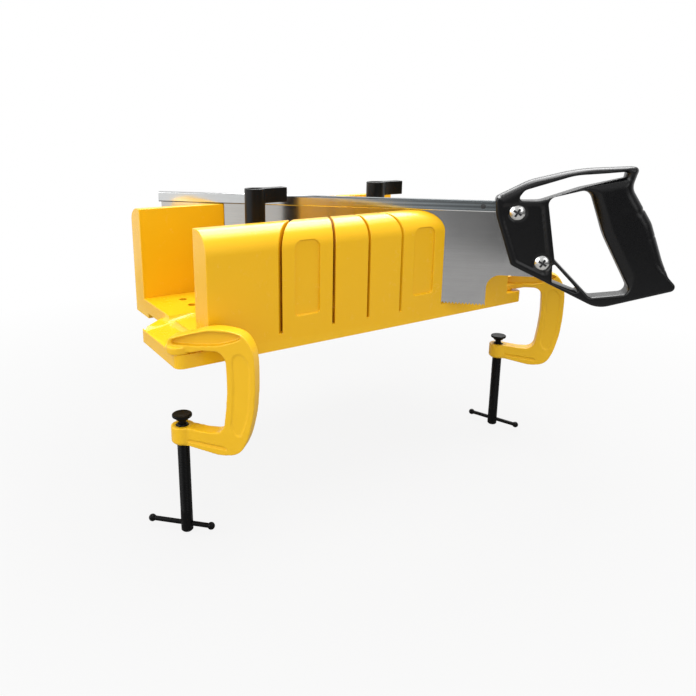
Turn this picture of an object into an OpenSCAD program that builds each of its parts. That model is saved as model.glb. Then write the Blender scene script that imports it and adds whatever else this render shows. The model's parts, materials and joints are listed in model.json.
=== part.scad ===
// Mitre box with a back saw, two cam pegs and two bench clamps.
// The origin is under the point where the saw slots cross, on the underside of the box.
// X runs along the box, Y runs to the back and Z runs up.

/* [Box walls] */
// Length of both walls to the left of the slot crossing
wall_left = 156; // [135:1:200]
// Length of the front wall and the bed to the right of the slot crossing
wall_right = 183; // [160:1:230]
// Length of the rear wall to the right of the slot crossing
rear_right = 150; // [120:1:160]
// Depth of the box over both walls
box_depth = 183; // [170:1:200]
// Thickness of each wall
wall_t = 25.5; // [22:0.5:30]
// Height of the wall tops above the bench
wall_h = 105; // [95:1:120]
// Height of the bed that the work lies on
bed_h = 17.2; // [15:0.1:20]
// How far the rounded top of the front wall reaches back
front_round_y = 19; // [10:0.5:21]
// How far the rounded top of the front wall reaches down
front_round_z = 20; // [10:0.5:30]
// How far the rounded top of the rear wall reaches forward
rear_round_y = 18; // [8:0.5:21]
// How far the rounded top of the rear wall reaches down
rear_round_z = 13; // [8:0.5:30]

/* [Saw slots] */
// Width of each saw slot
slot_w = 2.4; // [2:0.1:3]
// Height of the floor of the slots above the bench
slot_floor = 14; // [12:0.1:16.5]
// Angle of the steep pair of slots
mitre_angle = 45; // [42:1:46]
// Angle of the shallow pair of slots
shallow_angle = 22.5; // [20:0.5:25]

/* [Thumb panels] */
// Width of the two sunk panels in the front wall
panel_w = 24.5; // [18:0.5:28]
// Height of the lower edge of the panels
panel_low = 27; // [20:1:40]
// Height of the upper edge of the panels
panel_high = 91; // [80:1:94]
// Depth of the panels
panel_depth = 2.2; // [1:0.1:4]

/* [Clamping tabs] */
// Length of the tab at the left end
tab_left = 27; // [24:1:36]
// Length of the tab at the right end
tab_right = 24; // [23:1:36]
// Height of the tab tops above the bench
tab_h = 11.6; // [10:0.1:14]
// Depth of the tabs from the front of the box
tab_depth = 106; // [80:1:120]
// Size of the slanted rear corner of the tabs
tab_slant = 25; // [10:1:26]
// Radius of the front corner of the tabs
tab_corner = 7; // [3:0.5:10]
// Radius of the scooped groove at the left end of the bed
scoop_r = 9; // [6:0.5:12]
// Length of the scooped groove
scoop_len = 38; // [25:1:50]

/* [Underside] */
// Depth of the two channels under the bed
channel_depth = 4.7; // [3:0.1:6]
// Width of the rails that stand on the bench under the walls
rail_w = 37; // [30:1:45]
// Width of the rib along the middle of the underside
rib_w = 20; // [14:1:30]

/* [Cam pegs] */
// Diameter of the peg's pin
pin_d = 8.3; // [7:0.1:10]
// Diameter of the peg's post
post_d = 18.6; // [16:0.1:22]
// How far the pin is off the middle of the post
cam_offset = 3; // [1:0.5:4]
// Height of the peg top above the wall tops
peg_rise = 23; // [18:0.5:30]
// Reach of the lever from the middle of the post
lever_len = 31; // [26:1:36]
// Height of the lever
lever_h = 13.5; // [10:0.5:16]
// Thickness of the lever at its end
lever_t = 11; // [7:0.5:14]
// Distance of the left peg from the slot crossing, to the left
peg_left_x = 72; // [66:1:80]
// Distance of the right peg from the slot crossing, to the right
peg_right_x = 65; // [60:1:75]
// Distance of both pegs from the slot crossing, to the front
peg_y = 17; // [14:1:22]

/* [Free peg holes] */
// Distance of the outer holes from the slot crossing
hole_outer_x = 124; // [115:1:128]
// Distance of the inner holes from the slot crossing
hole_inner_x = 104; // [98:1:108]
// Distance of the near outer holes behind the slot crossing
hole_near_y = 21; // [18:1:26]
// Distance of the far outer holes behind the slot crossing
hole_far_y = 44; // [36:1:46]
// Distance of the inner holes behind the slot crossing
hole_inner_y = 50; // [44:1:56]

/* [Saw blade] */
// Thickness of the blade
blade_t = 1; // [0.8:0.1:1.2]
// Length of the back from the slot crossing to the toe
toe_reach = 165.7; // [160:1:200]
// How far the toe of the blade stays behind the end of the back
toe_set = 2; // [1:0.5:6]
// Pitch of the teeth
tooth_pitch = 3.2; // [1.8:0.1:4]
// Depth of the teeth
tooth_h = 2.2; // [1:0.1:2.5]
// Radius of the scoop cut out of the heel
heel_r = 13; // [8:0.5:16]
// Height of the scoop above the teeth
heel_h = 31; // [22:0.5:32]

/* [Saw back] */
// Height of the folded back
back_h = 10.6; // [9:0.1:11]
// Thickness of the folded back
back_t = 5.5; // [4:0.1:7]
// Gap between the back and the wall tops
back_gap = 0.3; // [0.1:0.1:1]
// Diameter of the rivet through the back
rivet_d = 3.6; // [2:0.1:5]

/* [Saw handle] */
// Distance from the slot crossing to the front edge of the handle
handle_front = 172; // [165:1:190]
// Thickness of the handle
handle_t = 20; // [16:0.5:26]
// Depth of the sunk cheek panels
cheek_depth = 1.2; // [0.5:0.1:2]
// Radius of the notches down the back of the grip
notch_r = 2; // [1.5:0.5:4]
// Depth of the notches down the back of the grip
notch_depth = 0.9; // [0.4:0.1:1.4]

/* [Handle screws] */
// Diameter of the screw heads
head_d = 14.6; // [12:0.2:16]
// Height of the domed heads
head_h = 2.8; // [2:0.1:4]
// Diameter of the screw shanks
shank_d = 5; // [4:0.1:6]
// Outside diameter of the nut sleeves
sleeve_d = 8; // [7.5:0.1:9]
// Gap around the heads in their round seats
seat_gap = 1; // [0.5:0.1:1.4]
// Depth of the seats below the cheek panels
seat_depth = 0.8; // [0.4:0.1:1.5]

/* [Clamp frames] */
// Thickness of the bench top that the clamps close on
bench_t = 41; // [30:1:44]
// Angle of the clamps, turned from square along the box
clamp_turn = 45; // [44:1:50]
// Distance from the screw to the inside of the spine
throat = 40.5; // [34:0.5:46]
// Width of the spine
spine_w = 23; // [20:0.5:30]
// Thickness of the casting
cast_t = 13; // [12:0.5:14]
// Diameter of the anvil
anvil_d = 20.4; // [17:0.2:21]
// Diameter of the boss that holds the screw
boss_d = 18.4; // [15:0.2:20]
// Height of the opening between the anvil and the boss
jaw_open = 62; // [58:1:75]
// Height of the boss
boss_h = 15.5; // [13:0.5:20]
// Depth of the sunk web in the upper arm
web_depth = 4; // [2:0.5:4.5]

/* [Clamp screws] */
// Diameter of the screw
screw_d = 10; // [8:0.5:11]
// Length of the screw from the face of its pad to its lower end
screw_len = 105.5; // [98:0.5:130]
// Diameter of the neck that turns in the pad
neck_d = 6; // [4:0.5:7]
// Diameter of the swivel pad
pad_d = 16; // [13:0.5:19]
// Thickness of the swivel pad
pad_h = 5; // [4:0.5:6]
// Diameter of the T-bar
bar_d = 4; // [3:0.1:5]
// Length of the T-bar over its balls
bar_len = 59; // [50:1:70]
// Diameter of the balls on the T-bar
ball_d = 6.4; // [6:0.1:8]
// Distance of the T-bar from the lower end of the screw
bar_up = 6.5; // [5:0.5:12]
// Angle between the right T-bar and its clamp
bar_angle = 27; // [0:1:90]

/* [Fits] */
// Radial clearance of a turning or sliding fit
run_gap = 0.05; // [0.02:0.01:0.1]
// Clearance between flat pieces that are put together
flat_gap = 0.1; // [0.05:0.05:0.2]

/* [Hidden] */

$fn = 48;
// A little extra for cuts that leave a face
over = 1;

// Colours
yellow = [0.93, 0.70, 0.11];
black = [0.09, 0.09, 0.10];
steel = [0.62, 0.62, 0.63];
zinc = [0.80, 0.80, 0.80];

// Box
front_y = -box_depth / 2;
rear_y = box_depth / 2;
inner_y = box_depth / 2 - wall_t;
box_len = wall_left + wall_right;
steep_x = -front_y * tan(mitre_angle);
shallow_x = -front_y * tan(shallow_angle);
panel_x = (steep_x + shallow_x) / 2;
slot_angles = [-mitre_angle, -shallow_angle, 0, shallow_angle, mitre_angle];
panel_top_r = 7;
panel_foot_r = 2.5;
// Distance of the groove from the rear end of the tab
scoop_in = 26;

// Pegs
pin_hole_d = pin_d + 2 * run_gap;
peg_top = wall_h + peg_rise;
peg_seat = bed_h + back_gap;
peg_dish = 3;
peg_rim = 2.5;
lever_neck = 8;
lever_root = 13.6;
lever_waist = lever_len * 0.55;
free_holes = [for (side = [-1, 1], p = [[hole_outer_x, hole_near_y], [hole_outer_x, hole_far_y],
    [hole_inner_x, hole_inner_y]]) [side * p[0], p[1]]];
peg_holes = [[-peg_left_x, -peg_y], [peg_right_x, -peg_y]];

// Saw, measured along the cut from the slot crossing and up from the bench
back_low = wall_h + back_gap;
back_top = back_low + back_h;
teeth_z = slot_floor + back_gap;
heel_s = handle_front - 3;
heel_top = teeth_z + heel_h;
tang_len = 39.5;
tang_end = handle_front + tang_len;
fold_t = 2;
tang_top = back_top - fold_t;
back_in = 13;
back_end = handle_front + back_in;
fold_r = 2;
rivet_s = handle_front - 10.5;
rivet_z = back_low + back_h / 2;
rivet_head_d = rivet_d + 1.2;
rivet_head_h = 0.5;
tooth_count = floor((heel_s + toe_reach - toe_set - 3) / tooth_pitch);

// Handle outline: distance behind the front edge, height above the foot of the back, corner radius
handle_corners = [[-0.5, 14.5, 7], [29, 30.5, 50], [71, 41.5, 150], [120.5, 44.3, 4], [116, 25.5, 12],
    [135.2, -5, 30], [153, -52.5, 10], [163.2, -63.3, 4.5], [97, -85, 24], [17.5, -48, 4], [1.2, -2, 30]];
// Opening for the hand
grip_corners = [[45.5, 14.5, 7], [80.2, 24, 9], [95.9, -17.3, 100], [124.5, -69.5, 6], [89.5, -75, 5],
    [56, -41.5, 6]];
// Long slit under the top bar
slit_corners = [[18.5, 11.5, 4], [25, 21.5, 8], [67, 35.7, 60], [109.5, 39.5, 1.2], [108.5, 34.6, 1.2],
    [74, 25.2, 60], [39, 12.2, 20]];
// Three-cornered slit behind the lower screw
gusset_corners = [[54.3, -43.5, 1.5], [82.5, -72.5, 1.5], [55.3, -62.5, 1.5]];
// Sunk cheek panel
cheek_corners = [[5.5, 8.5, 4], [18, 9.2, 4], [36, 10.5, 4], [42, 9, 3], [50.5, -40, 3], [52, -58, 3],
    [21.5, -44.5, 4], [7, -5, 20]];
// Notches down the back of the grip, and the way they are cut in
notch_points = [[127.7, 7.3], [140, -16.1], [151.2, -45.8]];
notch_way = [0.914, 0.405];
upper_screw = [20, 1];
lower_screw = [45.5, -45];
screw_points = [upper_screw, lower_screw];
seat_y = handle_t / 2 - cheek_depth - seat_depth;
seat_d = head_d + 2 * seat_gap;
cross_w = 1.8;
cross_len = 8;
cross_depth = 1.6;
cross_turn = 30;
shank_short = 2;
nut_skin = 1;

// Clamps, measured from the screw and up from the bench
anvil_z = tab_h + flat_gap;
boss_top = anvil_z - jaw_open;
boss_low = boss_top - boss_h;
arm_low = anvil_z + 2;
arm_top = anvil_z + 21.8;
tip_top = anvil_z + 12.5;
boss_edge = 2.2;
heel_drop = 4.5;
heel_low = boss_low - heel_drop;
spine_in = throat;
spine_out = throat + spine_w;
anvil_h = 6;
pad_top = -bench_t;
screw_low = pad_top - screw_len;
bar_z = screw_low + bar_up;
pad_skin = 2;
pad_edge = 0.6;
pad_hub = 2;
neck_top = pad_top - pad_skin;
neck_low = boss_top + 1;
// Places of the two screws on the tabs
clamp_left_at = [-wall_left - tab_left + anvil_d / 2 - 4.2, front_y + anvil_d / 2 - 0.2];
clamp_right_at = [wall_right + anvil_d / 2 + 0.6, front_y + anvil_d / 2 + 6.3];
bar_shift_left = -5;
bar_shift_right = 1;

// Casting outline: distance from the screw, height, corner radius
frame_corners = [[-8.5, arm_low, 3], [-6, tip_top, 4], [10, arm_top - 5, 60], [26, arm_top + 0.2, 60],
    [spine_in + 1.5, arm_top + 0.4, 60], [spine_out - 7.5, arm_top - 3, 40], [spine_out - 0.9, arm_top - 15, 40],
    [spine_out + 0.3, 4, 90], [spine_out + 0.2, -14, 120], [spine_out - 1.4, -34, 90], [spine_out - 6, -54, 60],
    [spine_out - 13, heel_low + 1.5, 40], [spine_in - 6.5, heel_low - 0.6, 30], [8, boss_low, 4],
    [0, boss_low, 0], [0, boss_top, 0], [10, boss_top - 0.5, 4], [22, boss_top - 1.8, 8],
    [spine_in - 3.5, boss_top - 1.2, 14], [spine_in - 0.6, -30, 60], [spine_in + 0.8, -12, 90],
    [spine_in - 0.4, arm_low + 2.6, 11], [22, arm_low + 2.4, 6], [13, arm_low, 5]];
// Sunk web in the upper arm
web_corners = [[-3.5, arm_low + 5.5, 2], [-3.5, tip_top - 1.5, 2], [12, arm_top - 5.2, 40],
    [28, arm_top - 1.9, 30], [spine_in + 3.5, arm_top - 1.7, 12], [spine_out - 8.2, arm_top - 4, 6],
    [spine_in + 8.5, arm_top - 8, 8], [spine_in - 4.5, arm_low + 7.5, 30], [16, arm_low + 5.6, 30]];
// Shallow panel on the spine
spine_corners = [[spine_in + 5, arm_low - 1, 10], [spine_in + 11.5, arm_low + 3, 8],
    [spine_out - 4.5, arm_low - 4, 14], [spine_out - 4, -10, 60], [spine_out - 5.6, -34, 60],
    [spine_out - 13, -56, 20], [spine_in + 3, -46, 12], [spine_in + 4.4, -28, 60], [spine_in + 5.6, -10, 60]];
spine_sink = 0.8;
// Sunk groove in the lower arm
foot_corners = [[3, boss_low + 4.5, 1], [3, boss_low + 6, 1], [20, boss_low + 4.5, 20],
    [spine_in - 2.5, boss_low + 2.5, 3], [spine_in + 0.5, heel_low + 4.5, 2], [28, heel_low + 6, 20]];
foot_sink = 1.5;

function unit(v) = v / norm(v);

// Points of an arc that rounds the corner at p between a and b
function rounded_corner(a, p, b, r, steps) =
    let (
        u = unit(a - p),
        v = unit(b - p),
        half = acos(max(-1, min(1, u * v))) / 2,
        run = min(r / tan(half), norm(a - p) * 0.49, norm(b - p) * 0.49),
        radius = run * tan(half),
        centre = p + unit(u + v) * radius / sin(half),
        from = p + u * run - centre,
        to = p + v * run - centre,
        start = atan2(from[1], from[0]),
        turn = atan2(to[1], to[0]) - start,
        sweep = turn > 180 ? turn - 360 : turn < -180 ? turn + 360 : turn
    )
    [for (i = [0 : steps]) centre + radius * [cos(start + sweep * i / steps), sin(start + sweep * i / steps)]];

// An outline with its corners rounded, from a list of points with radii
function rounded_outline(corners, steps = 8) =
    let (n = len(corners))
    [for (i = [0 : n - 1])
        let (c = corners[i], a = corners[(i + n - 1) % n], b = corners[(i + 1) % n], p = [c[0], c[1]])
        each c[2] == 0 ? [p] : rounded_corner([a[0], a[1]], p, [b[0], b[1]], c[2], steps)];

// Quarter of an ellipse, from its left end to its top
function quarter_ellipse(centre, a, b, steps = 16) =
    [for (i = [0 : steps]) centre + [-a * cos(90 * i / steps), b * sin(90 * i / steps)]];

// Teeth of the blade from the heel to the toe
function teeth() =
    [for (i = [0 : tooth_count - 1], step = [0, 1])
        [heel_s - (i + step / 2) * tooth_pitch, teeth_z + step * tooth_h]];

// Puts a flat shape drawn along the cut and up into the plane of the saw
module in_plane(thickness) {
    rotate([90, 0, 0])
        linear_extrude(thickness, center = true)
            children();
}

// Turns a piece drawn along X into the plane of the cut
module along_cut() {
    rotate([0, 0, -mitre_angle])
        children();
}

// A cylinder across the plane of the saw
module cross_rod(at, d, y_from, y_to) {
    translate([at[0], y_to, at[1]])
        rotate([90, 0, 0])
            cylinder(d = d, h = y_to - y_from);
}

// Domed head that stands on the plane Z = 0
module dome(d, h) {
    ball_r = (d * d / 4 + h * h) / (2 * h);
    intersection() {
        translate([0, 0, h - ball_r])
            sphere(r = ball_r);
        cylinder(d = d, h = h + over);
    }
}

// Cross-section of a wall with a rounded outer top, drawn with its outer face at zero
module wall_section(round_y, round_z) {
    polygon(concat(
        [[0, 0]],
        quarter_ellipse([round_y, wall_h - round_z], round_y, round_z),
        [[wall_t, wall_h], [wall_t, 0]]));
}

module front_wall() {
    translate([-wall_left, front_y, 0])
        rotate([90, 0, 90])
            linear_extrude(box_len)
                wall_section(front_round_y, front_round_z);
}

module rear_wall() {
    translate([-wall_left, rear_y, 0])
        mirror([0, 1, 0])
            rotate([90, 0, 90])
                linear_extrude(wall_left + rear_right)
                    wall_section(rear_round_y, rear_round_z);
}

// Tab drawn from the wall end towards the left, with a rounded front corner and a slanted rear one
module tab_plate(length) {
    linear_extrude(tab_h)
        polygon(rounded_outline([[tab_corner, front_y, 0], [tab_corner, front_y + tab_depth, 0],
            [0, front_y + tab_depth, 0], [-length, front_y + tab_depth - min(tab_slant, length), 3],
            [-length, front_y, tab_corner]]));
}

// Hollow fillet between the tab top and the end of the bed
module tab_fillet() {
    rise = bed_h - tab_h;
    translate([-rise, front_y + wall_t, tab_h])
        difference() {
            cube([rise + over, tab_depth - wall_t - scoop_r, rise]);
            translate([0, -over, rise])
                rotate([-90, 0, 0])
                    cylinder(r = rise, h = tab_depth);
        }
}

// Groove that runs out into the bed
module scoop() {
    drop = bed_h - tab_h;
    slope = atan(drop / scoop_len);
    translate([-wall_left, front_y + tab_depth - scoop_in, tab_h + scoop_r])
        rotate([0, -slope, 0])
            rotate([0, 90, 0])
                translate([0, 0, -tab_left])
                    cylinder(r = scoop_r, h = scoop_len * 2 + tab_left);
}

module thumb_panel() {
    wide = panel_w / 2;
    translate([0, front_y + panel_depth, 0])
        rotate([90, 0, 0])
            linear_extrude(panel_depth + over)
                polygon(rounded_outline([[-wide, panel_low, panel_foot_r], [wide, panel_low, panel_foot_r],
                    [wide, panel_high, panel_top_r], [-wide, panel_high, panel_top_r]]));
}

module underside_channel() {
    width = rear_y - rail_w - rib_w / 2;
    translate([-wall_left - over, rib_w / 2, -over])
        cube([box_len + 2 * over, width, channel_depth + over]);
}

module mitre_box() {
    color(yellow)
        difference() {
            union() {
                front_wall();
                rear_wall();
                translate([-wall_left, front_y, 0])
                    cube([box_len, box_depth, bed_h]);
                translate([-wall_left, 0, 0]) {
                    tab_plate(tab_left);
                    tab_fillet();
                }
                translate([wall_right, 0, 0])
                    mirror([1, 0, 0]) {
                        tab_plate(tab_right);
                        tab_fillet();
                    }
            }
            for (angle = slot_angles)
                rotate([0, 0, angle])
                    translate([-slot_w / 2, -box_depth, slot_floor])
                        cube([slot_w, 2 * box_depth, wall_h]);
            for (side = [-1, 1])
                translate([side * panel_x, 0, 0])
                    thumb_panel();
            scoop();
            underside_channel();
            mirror([0, 1, 0])
                underside_channel();
            for (at = concat(free_holes, peg_holes))
                translate([at[0], at[1], -over])
                    cylinder(d = pin_hole_d, h = bed_h + 2 * over);
        }
}

// Cam peg drawn about its pin, with the lever to the right
module cam_peg() {
    color(black) {
        translate([0, 0, channel_depth])
            cylinder(d = pin_d, h = peg_seat - channel_depth + over);
        difference() {
            union() {
                translate([-cam_offset, 0, peg_seat])
                    cylinder(d = post_d, h = peg_top - peg_seat);
                translate([-cam_offset, 0, peg_top - lever_h])
                    linear_extrude(lever_h)
                        polygon(rounded_outline([[0, -lever_root / 2, 0], [lever_waist, -lever_neck / 2, 40],
                            [lever_len, -lever_t / 2, 1.2], [lever_len, lever_t / 2, 1.2],
                            [lever_waist, lever_neck / 2, 40], [0, lever_root / 2, 0]]));
            }
            translate([-cam_offset, 0, peg_top - peg_dish])
                cylinder(d = post_d - 2 * peg_rim, h = peg_dish + over);
        }
    }
}

module cam_peg_left() {
    translate(peg_holes[0])
        cam_peg();
}

module cam_peg_right() {
    translate(peg_holes[1])
        cam_peg();
}

// Handle measures turned into places along the cut and up
function handle_at(p) = [handle_front + p[0], back_low + p[1]];
function handle_outline(corners) =
    rounded_outline([for (c = corners) [handle_front + c[0], back_low + c[1], c[2]]]);

module blade_outline() {
    // Quarter round of the scoop, from the heel up to the tang
    scooped = [for (i = [0 : 10])
        [heel_s + heel_r * (1 - cos(9 * i)), heel_top - heel_r * (1 - sin(9 * i))]];
    difference() {
        polygon(concat(teeth(), [[toe_set - toe_reach, teeth_z + tooth_h], [toe_set - toe_reach, tang_top],
            [tang_end, tang_top], [tang_end, heel_top]], [for (i = [10 : -1 : 0]) scooped[i]]));
        for (p = screw_points)
            translate(handle_at(p))
                circle(d = sleeve_d + 2 * flat_gap);
        translate([rivet_s, rivet_z])
            circle(d = rivet_d + 2 * run_gap);
    }
}

module saw_blade() {
    color(steel)
        along_cut()
            in_plane(blade_t)
                blade_outline();
}

module saw_back() {
    half = back_t / 2;
    cheek = blade_t / 2 + run_gap;
    color(steel)
        along_cut()
            difference() {
                translate([-toe_reach, 0, 0])
                    rotate([90, 0, 90])
                        linear_extrude(toe_reach + back_end)
                            polygon(rounded_outline([[half, back_low, 0], [half, back_top, fold_r],
                                [-half, back_top, fold_r], [-half, back_low, 0], [-cheek, back_low, 0],
                                [-cheek, tang_top + run_gap, 0], [cheek, tang_top + run_gap, 0],
                                [cheek, back_low, 0]], 6));
                cross_rod([rivet_s, rivet_z], rivet_d + 2 * run_gap, -back_t, back_t);
            }
}

module back_rivet() {
    reach = back_t / 2;
    color(zinc)
        along_cut() {
            cross_rod([rivet_s, rivet_z], rivet_d, -reach, reach);
            for (side = [-1, 1])
                translate([rivet_s, side * reach, rivet_z])
                    rotate([-90 * side, 0, 0])
                        dome(rivet_head_d, rivet_head_h);
        }
}

module handle_plate() {
    difference() {
        polygon(handle_outline(handle_corners));
        polygon(handle_outline(grip_corners));
        polygon(handle_outline(slit_corners));
        polygon(handle_outline(gusset_corners));
        for (p = notch_points)
            translate(handle_at(p + notch_way * (notch_r - notch_depth)))
                circle(r = notch_r);
    }
}

module saw_handle() {
    color(black)
        along_cut()
            difference() {
                in_plane(handle_t)
                    handle_plate();
                for (side = [-1, 1])
                    translate([0, side * handle_t / 2, 0])
                        in_plane(2 * cheek_depth)
                            polygon(handle_outline(cheek_corners));
                // Slit for the blade
                translate([handle_front - handle_t, -blade_t / 2 - flat_gap, 0])
                    cube([tang_len + handle_t + flat_gap, blade_t + 2 * flat_gap, tang_top + flat_gap]);
                // Pocket for the back
                translate([handle_front - handle_t, -back_t / 2 - flat_gap, back_low - flat_gap])
                    cube([back_in + handle_t + flat_gap, back_t + 2 * flat_gap, back_h + 2 * flat_gap]);
                for (p = screw_points) {
                    cross_rod(handle_at(p), sleeve_d + 2 * run_gap, -handle_t, handle_t);
                    cross_rod(handle_at(p), seat_d, -handle_t, -seat_y);
                    cross_rod(handle_at(p), seat_d, seat_y, handle_t);
                }
            }
}

// Screw with a cross recess in its domed head
module handle_screw(p) {
    at = handle_at(p);
    color(zinc)
        along_cut()
            difference() {
                union() {
                    translate([at[0], -seat_y, at[1]])
                        rotate([90, 0, 0])
                            dome(head_d, head_h);
                    cross_rod(at, shank_d, -seat_y, seat_y - shank_short);
                }
                translate([at[0], -seat_y - head_h, at[1]])
                    for (turn = [cross_turn, cross_turn + 90])
                        rotate([0, turn, 0])
                            cube([cross_len, 2 * cross_depth, cross_w], center = true);
            }
}

// Sleeve nut with a plain domed head on the far side of the handle
module handle_nut(p) {
    at = handle_at(p);
    color(zinc)
        along_cut()
            difference() {
                union() {
                    translate([at[0], seat_y, at[1]])
                        rotate([-90, 0, 0])
                            dome(head_d, head_h);
                    cross_rod(at, sleeve_d, shank_short - seat_y, seat_y);
                }
                cross_rod(at, shank_d + 2 * run_gap, -handle_t, seat_y - nut_skin);
            }
}

module handle_screw_upper() {
    handle_screw(upper_screw);
}

module handle_screw_lower() {
    handle_screw(lower_screw);
}

module handle_nut_upper() {
    handle_nut(upper_screw);
}

module handle_nut_lower() {
    handle_nut(lower_screw);
}

// Puts a clamp piece drawn about its screw in its place
module at_clamp(at) {
    translate([at[0], at[1], 0])
        rotate([0, 0, -clamp_turn])
            children();
}

// Pocket in both sides of the casting
module both_pockets(corners, depth) {
    for (side = [-1, 1])
        translate([0, side * cast_t / 2, 0])
            in_plane(2 * depth)
                polygon(rounded_outline(corners));
}

module clamp_frame() {
    color(yellow)
        difference() {
            union() {
                difference() {
                    in_plane(cast_t)
                        polygon(rounded_outline(frame_corners));
                    both_pockets(web_corners, web_depth);
                    both_pockets(spine_corners, spine_sink);
                    both_pockets(foot_corners, foot_sink);
                }
                translate([0, 0, anvil_z])
                    cylinder(d = anvil_d, h = anvil_h);
                translate([0, 0, boss_low])
                    rotate_extrude()
                        polygon([[0, 0], [boss_d / 2 - boss_edge, 0], [boss_d / 2, boss_edge],
                            [boss_d / 2, boss_h], [0, boss_h]]);
            }
            translate([0, 0, boss_low - over])
                cylinder(d = screw_d + 2 * run_gap, h = boss_h + 2 * over);
        }
}

module clamp_screw(turn) {
    color(black)
        difference() {
            union() {
                translate([0, 0, screw_low])
                    cylinder(d = screw_d, h = neck_low - screw_low);
                translate([0, 0, neck_low - over])
                    cylinder(d = neck_d, h = neck_top - neck_low + over - flat_gap);
            }
            translate([0, 0, bar_z])
                rotate([0, 90, -turn])
                    cylinder(d = bar_d + 2 * run_gap, h = 2 * screw_d, center = true);
        }
}

module tee_bar(turn, shift) {
    color(black)
        translate([0, 0, bar_z])
            rotate([0, 90, -turn])
                translate([0, 0, shift])
                    cylinder(d = bar_d, h = bar_len - ball_d / 2, center = true);
}

// Balls on both ends of the T-bar
module tee_ends(turn, shift) {
    color(black)
        translate([0, 0, bar_z])
            rotate([0, 90, -turn])
                translate([0, 0, shift])
                    difference() {
                        for (side = [-1, 1])
                            translate([0, 0, side * (bar_len - ball_d) / 2])
                                sphere(d = ball_d);
                        cylinder(d = bar_d + flat_gap / 5, h = bar_len - ball_d / 2 + flat_gap, center = true);
                    }
}

// Pad that swivels on the neck of the screw
module swivel_pad() {
    color(black)
        translate([0, 0, pad_top - pad_h])
            difference() {
                rotate_extrude()
                    polygon([[0, 0], [neck_d / 2 + pad_hub, 0], [pad_d / 2, pad_h - pad_skin],
                        [pad_d / 2, pad_h - pad_edge], [pad_d / 2 - pad_edge, pad_h], [0, pad_h]]);
                translate([0, 0, -over])
                    cylinder(d = neck_d + 2 * run_gap, h = neck_top - pad_top + pad_h + over);
            }
}

module clamp_frame_left() {
    at_clamp(clamp_left_at)
        clamp_frame();
}

module clamp_screw_left() {
    at_clamp(clamp_left_at)
        clamp_screw(0);
}

module tee_bar_left() {
    at_clamp(clamp_left_at)
        tee_bar(0, bar_shift_left);
}

module tee_ends_left() {
    at_clamp(clamp_left_at)
        tee_ends(0, bar_shift_left);
}

module swivel_pad_left() {
    at_clamp(clamp_left_at)
        swivel_pad();
}

module clamp_frame_right() {
    at_clamp(clamp_right_at)
        clamp_frame();
}

module clamp_screw_right() {
    at_clamp(clamp_right_at)
        clamp_screw(bar_angle);
}

module tee_bar_right() {
    at_clamp(clamp_right_at)
        tee_bar(bar_angle, bar_shift_right);
}

module tee_ends_right() {
    at_clamp(clamp_right_at)
        tee_ends(bar_angle, bar_shift_right);
}

module swivel_pad_right() {
    at_clamp(clamp_right_at)
        swivel_pad();
}

mitre_box();
cam_peg_left();
cam_peg_right();
saw_blade();
saw_back();
back_rivet();
saw_handle();
handle_screw_upper();
handle_screw_lower();
handle_nut_upper();
handle_nut_lower();
clamp_frame_left();
clamp_screw_left();
tee_bar_left();
tee_ends_left();
swivel_pad_left();
clamp_frame_right();
clamp_screw_right();
tee_bar_right();
tee_ends_right();
swivel_pad_right();
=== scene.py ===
"""Dresses the mitre box with its saw, pegs and clamps, and sets its light and camera."""

import json
import logging
import math
from dataclasses import dataclass
from enum import Enum
from functools import partial
from typing import Any, Callable, Sequence

import bmesh
import bpy
import numpy as np
from bmesh.types import BMEdge, BMesh, BMVert
from bpy.types import Material, NodeSocket, Object, World
from mathutils import Matrix, Vector
from mathutils.geometry import delaunay_2d_cdt

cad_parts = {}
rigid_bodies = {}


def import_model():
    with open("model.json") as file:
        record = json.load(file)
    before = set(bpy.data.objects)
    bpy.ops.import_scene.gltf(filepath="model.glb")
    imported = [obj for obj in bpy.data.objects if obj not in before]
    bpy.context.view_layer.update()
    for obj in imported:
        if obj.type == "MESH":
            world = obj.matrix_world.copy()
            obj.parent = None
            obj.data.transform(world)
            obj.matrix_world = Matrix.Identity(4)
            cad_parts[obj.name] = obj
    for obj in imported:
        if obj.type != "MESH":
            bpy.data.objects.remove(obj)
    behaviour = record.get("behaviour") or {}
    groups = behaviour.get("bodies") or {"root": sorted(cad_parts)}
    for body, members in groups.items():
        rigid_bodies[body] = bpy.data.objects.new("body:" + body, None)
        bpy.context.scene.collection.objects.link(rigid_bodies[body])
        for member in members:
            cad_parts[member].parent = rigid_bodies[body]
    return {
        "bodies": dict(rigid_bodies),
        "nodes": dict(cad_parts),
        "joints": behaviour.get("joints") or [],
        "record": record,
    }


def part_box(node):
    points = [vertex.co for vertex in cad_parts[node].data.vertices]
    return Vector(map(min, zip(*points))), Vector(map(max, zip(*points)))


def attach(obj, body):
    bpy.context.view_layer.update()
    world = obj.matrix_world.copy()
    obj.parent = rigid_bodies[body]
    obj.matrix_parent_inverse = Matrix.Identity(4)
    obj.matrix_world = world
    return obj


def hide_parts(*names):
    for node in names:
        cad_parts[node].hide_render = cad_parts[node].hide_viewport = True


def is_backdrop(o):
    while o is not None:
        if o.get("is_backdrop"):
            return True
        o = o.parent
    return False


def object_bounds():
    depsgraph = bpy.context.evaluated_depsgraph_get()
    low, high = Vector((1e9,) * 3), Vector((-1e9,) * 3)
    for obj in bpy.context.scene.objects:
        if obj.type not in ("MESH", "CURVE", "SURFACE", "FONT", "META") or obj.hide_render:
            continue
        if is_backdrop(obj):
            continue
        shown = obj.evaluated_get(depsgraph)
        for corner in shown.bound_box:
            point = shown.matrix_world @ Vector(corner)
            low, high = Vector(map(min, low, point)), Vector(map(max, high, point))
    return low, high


LOG = logging.getLogger("mitre_box")
MM = 0.001
WELD = 0.002 * MM
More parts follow.
